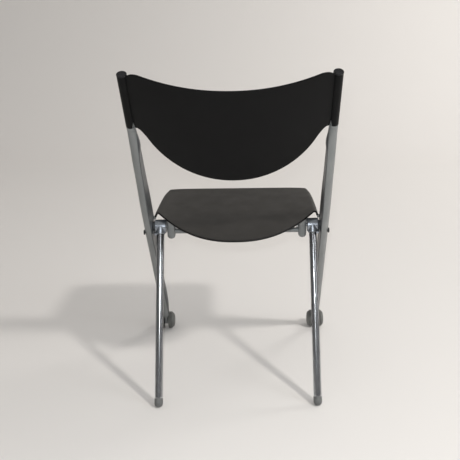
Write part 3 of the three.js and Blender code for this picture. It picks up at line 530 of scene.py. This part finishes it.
for side, sign in SIDES:
    pin = rounded([(0, pin_head_from), (pin_head_radius, pin_head_from),
                   (pin_head_radius, pin_head_to), (pin_radius, pin_head_to),
                   (pin_radius, pin_end), (0, pin_end)], 1.6)
    fit(turned_piece(f"pivot_bolt_{side}", pin, sign), "frame", "plain_steel", zinc,
        f"pivot_pin_{side}")
    washer = rounded([(washer_bore, washer_from), (washer_radius, washer_from),
                      (washer_radius, washer_to), (washer_bore, washer_to)], 0.5)
    fit(turned_piece(f"washer_{side}", washer, sign, looped=True), "frame", "dark_plastic",
        slate_plastic, f"pivot_washer_{side}")
    stop = rounded([(0, bush_from - 1), (stop_radius, bush_from - 1),
                    (stop_radius, stop_head_from), (stop_head_radius, stop_head_from),
                    (stop_head_radius, stop_head_to), (0, stop_head_to)], 1.0)
    fit(turned_piece(f"stop_head_{side}", stop, sign, stop_behind, stop_below), "frame",
        "dark_plastic", dark_plastic, f"stop_pin_{side}")
    bush = rounded([(bush_bore, bush_from), (bush_radius, bush_from), (bush_radius, post_face),
                    (bush_bore, post_face)], 0.4)
    fit(turned_piece(f"stop_sleeve_{side}", bush, sign, stop_behind, stop_below, looped=True),
        "frame", "dark_plastic", slate_plastic, f"stop_bush_{side}")
    dress(f"pivot_insert_{side}", zinc)

# ---------------------------------------------------------------- seat rests
# A small block on the flat side of each post, which the seat's rim comes down on. Cast, fixed
# to the post and painted with it; all its edges are round.
rest_top = 25.1
rest_height = 6.8
rest_length = 14.0
rest_width = 6.2

for side, sign in SIDES:
    angle = np.linspace(0, 2 * np.pi, 40, endpoint=False)[None, :]
    swell = np.array([0.0, 0.72, 0.9, 1, 1, 1, 0.9, 0.72, 0.0])[:, None]
    along = np.array([0.0, 0.0, 0.04, 0.12, 0.5, 0.88, 0.96, 1, 1])[:, None]
    x, z = squarish(angle, 0.35, swell * rest_width / 2, swell * rest_height / 2)
    rings = np.stack([sign * (x + post_face - rest_width / 2), -rest_length * along + 0 * angle,
                      z + rest_top - rest_height / 2], axis=-1)
    fit(skin(f"rest_block_{side}", rings), "frame", "grey_paint", grey_paint,
        f"seat_rest_{side}")

# ---------------------------------------------------------------- hubs
# An aluminium casting at the head of each rear leg: a barrel round the folding axis, a
# shoulder towards the post, a socket for the leg and a small tab for the stop.
leg_spread = 206.0
leg_tilt = math.atan2(leg_spread, pivot_height)
leg_splay = math.radians(0.5)
leg_offset = 5.0
shoulder_radius = 13.0
hub_end = hub_x + barrel_half + 1.2
tab_radius = 4.0
tab_reach = math.hypot(stop_behind, stop_below)
tab_apart = bush_radius + tab_radius + gap
tab_angle = math.atan2(stop_behind, stop_below) - 2 * math.asin(tab_apart / 2 / tab_reach)
# radius and height from the closed head, hidden in the barrel, over the mouth into the bore
socket_profile = [(0, -2), (12.9, -2), (12.3, -15), (12.3, -21), (9.95, -21), (9.95, -12)]
hub_metal = finish("hub_casting", ((0.30, 0.325, 0.36), (0.37, 0.395, 0.43)), 0.36, 1.3, 0.06,
                   metallic=0.75, patch_mm=14)


def down_leg(rings, sign):
    """Rings drawn down the Z axis, splayed out, set behind the folding axis and tilted to the
    slope of the rear leg, on one side of the chair."""
    x, y, z = rings[..., 0], rings[..., 1], rings[..., 2]
    out = x * math.cos(leg_splay) - z * math.sin(leg_splay)
    drop = x * math.sin(leg_splay) + z * math.cos(leg_splay)
    back = y + leg_offset
    return np.stack([sign * (out + hub_x), back * math.cos(leg_tilt) - drop * math.sin(leg_tilt),
                     back * math.sin(leg_tilt) + drop * math.cos(leg_tilt)], axis=-1)


for side, sign in SIDES:
    body = f"leg_{side}"
    barrel = rounded([(0, hub_x - barrel_half), (barrel_radius, hub_x - barrel_half),
                      (barrel_radius, hub_x + barrel_half),
                      (shoulder_radius, hub_x + barrel_half), (shoulder_radius, hub_end),
                      (0, hub_end)], 2.2)
    fit(turned_piece(f"hub_barrel_{side}", barrel, sign, around=96), body, "hub_metal",
        hub_metal, f"leg_hub_{side}")
    socket = down_leg(circle_rings(rounded(socket_profile, 1.2), 64), sign)
    fit(skin(f"hub_socket_{side}", socket), body, "hub_metal", hub_metal)
    tab = rounded([(0, hub_x), (tab_radius, hub_x), (tab_radius, hub_end), (0, hub_end)], 0.8)
    fit(turned_piece(f"hub_tab_{side}", tab, sign, tab_reach * math.sin(tab_angle),
                     tab_reach * math.cos(tab_angle)), body, "hub_metal", hub_metal)

# ---------------------------------------------------------------- rear legs
# Chromed steel tube, drawn straight, pressed into the hub's socket and open at the foot for
# the stem of the foot tip.
leg_radius, leg_bore = 9.75, 8.4
leg_head = 7.2
foot_radius = 10.7
foot_rise = foot_radius - 1.5
foot_centre = (pivot_height - foot_rise + leg_offset * math.sin(leg_tilt)) / math.cos(leg_tilt)
leg_end = foot_centre - 12.9
chrome = finish("chrome_plate", ((0.66, 0.67, 0.69), (0.72, 0.73, 0.75)), 0.2, 0.4, 0.0006,
                metallic=1.0, patch_mm=40, sway=0.04)

for side, sign in SIDES:
    tube = rounded([(leg_bore, -leg_end), (leg_radius, -leg_end), (leg_radius, -leg_head),
                    (leg_bore, -leg_head)], 0.5)
    # The profile has run up the outer wall once before it comes to this stretch.
    straight = np.stack([np.full(40, leg_radius), np.linspace(-leg_end + 2, -10, 40)], axis=1)
    tube = np.vstack([tube[:7], straight, tube[7:]])
    fit(skin(f"leg_tube_{side}", down_leg(circle_rings(tube, 64), sign), looped=True),
        f"leg_{side}", "chrome", chrome, f"rear_leg_{side}")

# ---------------------------------------------------------------- rear feet
# A grey moulded tip pushed into the end of each leg by a short stem, round-ended and worn flat
# where it stands on the floor.
stem_radius, stem_length = 8.0, 8.0
foot_top = -leg_end - gap
foot_grey = finish("foot_plastic", ((0.1, 0.103, 0.103), (0.15, 0.153, 0.15)), 0.55, 0.9, 0.05,
                   patch_mm=10)

for side, sign in SIDES:
    bowl = np.linspace(0, math.pi / 2, 14)[1:]
    foot = np.vstack([
        [[0, -foot_centre - foot_radius]],
        np.stack([foot_radius * np.sin(bowl), -foot_centre - foot_radius * np.cos(bowl)], axis=1),
        rounded([(foot_radius, -foot_centre), (foot_radius, foot_top), (stem_radius, foot_top),
                 (stem_radius, stem_length - leg_end), (0, stem_length - leg_end)], 0.9),
    ])
    rings = down_leg(circle_rings(foot, 64), sign)
    rings[..., 2] = np.maximum(rings[..., 2], -pivot_height)
    fit(skin(f"foot_tip_{side}", rings), f"leg_{side}", "grey_plastic", foot_grey,
        f"rear_foot_{side}")

# ---------------------------------------------------------------- seat shell
# One moulding in dark satin plastic with a fine grain: dished towards the rear, with a rolled
# rim at each side and a rolled front edge, and a smooth edge all round painted darker as shade.
seat_thickness = 4.5
rim_rise, dish = 38.0, 27.5
seat_behind, seat_ahead = 135.0, 223.0
seat_half_width, front_taper, front_corner = 210.5, 8.0, 6.0
side_roll, side_turn = 10.0, math.radians(100)
front_roll, front_turn = 26.0, math.radians(72)
seat_flat = 0.8


def seat_surface(u, v):
    """The seat's upper face for u from the sitter's left rim to the right and v from the rear
    edge to the front. Across, it falls from the rims by one minus a power of the place, eased
    to start level; forwards, the fall fades out. Past the flat part it rolls over an arc whose
    radius and turn go from the side's to the front's round the corners."""
    across_place = 1 - 2 * u
    share = np.minimum(1, np.abs(across_place) / seat_flat)
    forward = np.minimum(1, v / seat_flat)
    fall = 1 - share ** 2.3
    fall = fall ** 2 * 1.03 / (fall + 0.03)
    corner = front_corner * share ** 8 * forward ** 8
    flat_half = seat_half_width - side_roll - front_taper * forward ** 1.5
    front = front_roll * math.sin(front_turn) - seat_ahead
    y = seat_behind * fall * (1 - forward) + front * forward + corner
    z = rim_rise - dish * fall * (1 - forward) ** 1.1
    sideways = np.maximum(0, np.abs(across_place) - seat_flat) / (1 - seat_flat)
    onwards = np.maximum(0, v - seat_flat) / (1 - seat_flat)
    fan = np.arctan2(onwards, sideways)
    frontness = np.sin(fan) ** 2
    radius = side_roll + (front_roll - side_roll) * frontness
    turn = (side_turn + (front_turn - side_turn) * frontness) * np.maximum(sideways, onwards)
    reach = radius * np.sin(turn)
    x = np.sign(across_place) * (flat_half * share - corner + reach * np.cos(fan))
    return np.stack([x, y - reach * np.sin(fan), z - radius * (1 - np.cos(turn))], axis=-1)


def level_half(steps):
    """Rising shares from nothing to nearly one: the half height of the rounded edge."""
    return np.sin(np.linspace(0, np.pi / 2, steps + 1))[:-1] ** 0.7


def push_half(steps):
    """Falling shares from one to nearly nothing: how far the rounded edge stands out."""
    return np.cos(np.linspace(0, np.pi / 2, steps + 1))[:-1] ** 0.7


def shell(name, surface, columns, rows, thickness, edge=1.6, rim_steps=6):
    """A thick sheet whose outer face is surface(u, v). Each ring goes along the outer face,
    round one edge as a squarish half circle, back along the inner face and round the other
    edge; the rings before the first row and after the last one shrink the same way. Edge is
    how far the rounding stands out from the sheet, in millimetres. The normal is the cross
    product of small steps along u and v. The rounding is marked for painted shade, and the edge
    rows partly."""
    step = 1e-4
    edge_row_shade = 0.7
    around = np.linspace(0, np.pi, rim_steps + 2)[1:-1]
    level, out = np.cos(around), np.sin(around)
    level = np.sign(level) * np.abs(level) ** 0.7
    out = out ** 0.7
    u = np.concatenate([columns, np.ones(rim_steps), columns[::-1], np.zeros(rim_steps)])
    side = np.concatenate([np.ones(len(columns)), level, -np.ones(len(columns)), -level])
    stand = np.concatenate([np.zeros(len(columns)), out, np.zeros(len(columns)), -out])
    v = np.concatenate([np.zeros(rim_steps), rows, np.ones(rim_steps)])
    fade = np.concatenate([level_half(rim_steps), np.ones(len(rows)), level_half(rim_steps)[::-1]])
    push = np.concatenate([-push_half(rim_steps), np.zeros(len(rows)), push_half(rim_steps)[::-1]])
    u, v = u[None, :] + 0 * v[:, None], v[:, None] + 0 * u[None, :]
    here = surface(u, v)
    u_high, u_low = np.minimum(u + step, 1), np.maximum(u - step, 0)
    v_high, v_low = np.minimum(v + step, 1), np.maximum(v - step, 0)
    along_u = surface(u_high, v) - surface(u_low, v)
    along_v = surface(u, v_high) - surface(u, v_low)
    normal = np.cross(along_u, along_v)
    normal /= np.linalg.norm(normal, axis=-1, keepdims=True)
    along_u /= np.linalg.norm(along_u, axis=-1, keepdims=True)
    along_v /= np.linalg.norm(along_v, axis=-1, keepdims=True)
    middle = here - normal * thickness / 2
    lift = (side[None, :] * fade[:, None])[..., None] * thickness / 2
    outwards = (stand[None, :] * fade[:, None])[..., None] * edge
    forwards = push[:, None, None] * edge
    rings = middle + normal * lift + along_u * outwards + along_v * forwards
    # The rounding is marked fully and the first and last rows partly, for a finish to paint shade
    # there.
    on_edge = np.maximum(fade < 1, edge_row_shade * ((v[:, 0] == 0) | (v[:, 0] == 1)))
    shaded_rim = np.maximum(on_edge[:, None], (np.abs(side) < 1)[None, :])
    return skin(name, rings, fans=False, shade_mark=shaded_rim)


# Painted shade: the near-black colour for the marked edge darkens the seat's rounded edge all round.
seat_plastic = finish("seat_moulding", ((0.0165, 0.0152, 0.0134), (0.0178, 0.0163, 0.0144)),
                      0.5, 0.9, 0.03, patch_mm=120, specular=0.3, painted_shade=(0.002, 0.002, 0.002))
rim_columns = np.linspace(0, 0.1, 15)[:-1]
seat_columns = np.concatenate([rim_columns, np.linspace(0.1, 0.9, 121), 1 - rim_columns[::-1]])
seat_rows = np.concatenate([np.linspace(0, 0.8, 61), np.linspace(0.8, 1, 21)[1:]])
fit(shell("seat_moulding", seat_surface, seat_columns, seat_rows, seat_thickness, edge=2.0),
    "seat", "seat_plastic", seat_plastic, "seat_shell")

# ---------------------------------------------------------------- seat brackets and tie bar
# Cast lugs screwed under the seat from below, one each side, which hang over the pivot pins;
# a steel tie bar joins their lower ends. All in the posts' grey.
lug_x, lug_width, lug_depth, lug_drop = 170.0, 21.0, 24.0, 34.0
lug_end_width, lug_end_depth = 0.86, 0.95
tie_bar_radius, tie_bar_drop = 6.25, 14.0
# height, and the shares of the lug's width and depth there
lug_outline = [
    (-20, lug_end_width, lug_end_depth),
    (2, 1.0, 1.0),
    (20, 1.12, 1.25),
]

for side, sign in SIDES:
    end = np.linspace(0.02, math.pi / 2, 14)
    lower = np.stack([np.sin(end), -lug_drop + lug_width / 2 * (1 - np.cos(end)),
                      np.sin(end)], axis=1)
    upper_heights = np.linspace(-lug_drop + lug_width / 2 + 1.5, 20, 24)
    wide, deep = between(lug_outline, upper_heights)
    lower *= [lug_end_width, 1, lug_end_depth]
    outline = np.vstack([lower, np.stack([wide, upper_heights, deep], axis=1)])
    wide, height, deep = (column[:, None] for column in outline.T)
    angle = np.linspace(0, 2 * np.pi, 56, endpoint=False)[None, :]
    x, y = squarish(angle, 0.72, wide * lug_width / 2, deep * lug_depth / 2)
    rings = np.stack([sign * (x + lug_x), y, height + 0 * angle], axis=-1)
    fit(skin(f"lug_{side}", rings), "seat", "grey_paint", grey_paint)
    dress(f"seat_bracket_{side}", grey_paint)
    for where in ("rear", "front"):
        dress(f"seat_screw_{where}_{side}", zinc)

bar_end = lug_x + lug_width * 0.2
bar = rounded([(0, -bar_end), (tie_bar_radius, -bar_end), (tie_bar_radius, bar_end),
               (0, bar_end)], 0.8)
bar_rings = across(circle_rings(bar, 48)) - [0, 0, tie_bar_drop]
fit(skin("tie_bar", bar_rings), "seat", "grey_paint", grey_paint, "seat_tie_bar")

# ---------------------------------------------------------------- back shell
# A black satin moulding: a panel bowed back between the posts with a sleeve over each post's
# neck. At its foot each sleeve is cut away in a V beside the panel, where the post shows.
back_thickness = 4.5
back_depth, back_end_depth = 46.6, 3.5
crest, crest_x, top_sag, top_drop = 492.0, 192.0, 20.0, 6.0
middle_rise, sweep_width, sweep_height, knee_x = 215.0, 210.0, 190.0, 189.0
sleeve_radius, sleeve_bore = 10.8, 8.9
panel_edge_x = post_x - 6.5
top_edge_end = post_x - 11.9
panel_slant = 4.6
notch_rise = 25.0

black_plastic = finish("back_moulding", ((0.0028, 0.0029, 0.0032), (0.0036, 0.0038, 0.0041)),
                       0.42, 0.9, 0.02, patch_mm=90, specular=0.13)


def back_surface(u, v):
    """The panel's rear face for u from the sitter's left to the right and v from the lower edge
    to the top one. It lies behind the posts by a bow, one minus a power of the place across.
    The top edge climbs as a parabola to a crest and drops as a cube beyond it; the lower edge
    follows an ellipse to a knee and then turns level. Over the height of the sleeve's V the
    panel's own edge slants in by the width of its half of the V."""
    x = panel_edge_x * np.sin(np.pi / 2 * (1 - 2 * u))
    out = np.abs(x)
    beyond = np.clip((out - crest_x) / (top_edge_end - crest_x), 0, 1)
    top = np.where(out < crest_x, crest - top_sag * (1 - (out / crest_x) ** 2),
                   crest - top_drop * beyond ** 3)

    def sweep(place):
        """The foot of the panel at a place across: the middle's height plus a quarter ellipse."""
        return middle_rise + sweep_height * (1 - np.sqrt(1 - (place / sweep_width) ** 2))

    knee = sweep(knee_x)
    past = np.clip((out - knee_x) / (post_x - sleeve_radius - knee_x), 0, 1)
    low = np.where(out < knee_x, sweep(np.minimum(out, knee_x)),
                   knee + (sleeve_foot - knee) * (1 - (1 - past) ** 1.9))
    behind = back_end_depth + (back_depth - back_end_depth) * (1 - (out / post_x) ** 2.2)
    height = low + (top - low) * v
    slant = np.clip(1 - (height - sleeve_foot) / notch_rise, 0, 1) * past ** 2
    return leaned(np.stack([x - np.sign(x) * panel_slant * slant, behind, height], axis=-1))


back_columns = np.linspace(0, 1, 161)
back_rows = np.linspace(0, 1, 41)
fit(shell("back_panel", back_surface, back_columns, back_rows, back_thickness), "frame",
    "black_shell", black_plastic, "back_shell")

# Angles round the sleeve from its inner side towards the rear: the V's point, and the V's two
# ends at the sleeve's foot. Each ring runs outside from one edge of the V to the other and
# comes back inside.
panel_angle = math.radians(34)
notch_rear, notch_front = math.radians(66), math.radians(-20)
for side, sign in SIDES:
    heights = np.concatenate([np.linspace(sleeve_foot, sleeve_foot + notch_rise, 20),
                              np.linspace(sleeve_foot + notch_rise, back_top, 12)[1:]])
    open_share = np.clip(1 - (heights - sleeve_foot) / notch_rise, 0, 1)
    start = panel_angle + (notch_rear - panel_angle) * open_share
    stop = panel_angle + (notch_front - panel_angle) * open_share + 2 * math.pi
    place = np.linspace(0, 1, 72)[None, :]
    angle = math.pi - (start[:, None] + (stop - start)[:, None] * place)
    outer = np.stack([sleeve_radius * np.cos(angle), sleeve_radius * np.sin(angle),
                      heights[:, None] + 0 * angle], axis=-1)
    inner_share = sleeve_bore / sleeve_radius
    inner = outer * [inner_share, inner_share, 1]
    rings = np.concatenate([outer, inner[:, ::-1]], axis=1)
    rings[..., 0] = sign * (rings[..., 0] + post_x)
    fit(skin(f"back_sleeve_{side}", leaned(rings)), "frame", "black_shell", black_plastic)

# ---------------------------------------------------------------- caps
# A shallow glossy black cap in the top of each sleeve, moulded in plastic with a rounded rim
# and a stem that snaps into the sleeve.
cap_radius, cap_rim = 11.3, 2.7
cap_stem_radius, cap_stem = 6.0, 12.0
cap_seat = back_top + gap
cap_plastic = finish("cap_moulding", ((0.004, 0.004, 0.005), (0.009, 0.009, 0.011)), 0.3, 0.8,
                     0.02, patch_mm=8, specular=0.3)
for side, sign in SIDES:
    cap = rounded([(0, cap_seat - cap_stem), (cap_stem_radius, cap_seat - cap_stem),
                   (cap_stem_radius, cap_seat), (cap_radius, cap_seat),
                   (cap_radius - 0.2, cap_seat + cap_rim), (cap_radius - 2.6, cap_seat + cap_rim),
                   (0, cap_seat + cap_rim - 0.5)], 1.1)
    rings = circle_rings(cap, 64) + [sign * post_x, 0, 0]
    fit(skin(f"sleeve_cap_{side}", leaned(rings)), "frame", "black_shell", cap_plastic,
        f"back_cap_{side}")
